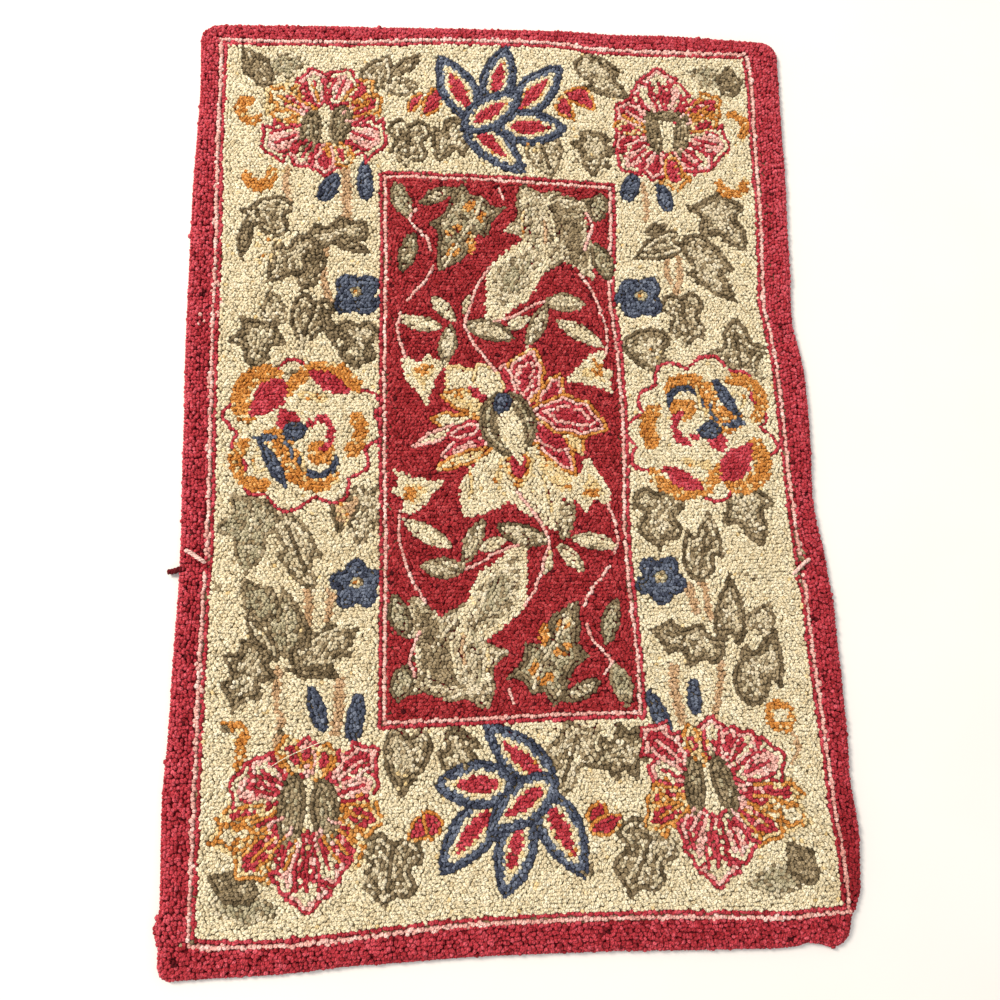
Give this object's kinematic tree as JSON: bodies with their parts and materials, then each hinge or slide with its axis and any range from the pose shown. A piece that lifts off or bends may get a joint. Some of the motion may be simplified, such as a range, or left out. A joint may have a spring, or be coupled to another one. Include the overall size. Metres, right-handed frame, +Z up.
{
  "type": "hooked rug",
  "caption": "Flat rectangular hooked wool rug with rounded, slightly uneven edges, a plain border, a floral field and a central panel, lying on its underside.",
  "frame": {"origin": "middle of the rug's box, on the surface that it lies on", "axes": "+X across the width, +Y along the length, towards the end whose corners are both neatly rounded, +Z up through the pile"},
  "size_m": [0.6214, 0.917, 0.009],
  "materials": {
    "hooked_wool": "looped wool yarn pile in red, cream, pink, grey-brown, gold and slate blue on a cotton foundation cloth"
  },
  "bodies": {
    "root": {"rug": "hooked_wool"}
  },
  "joints": []
}
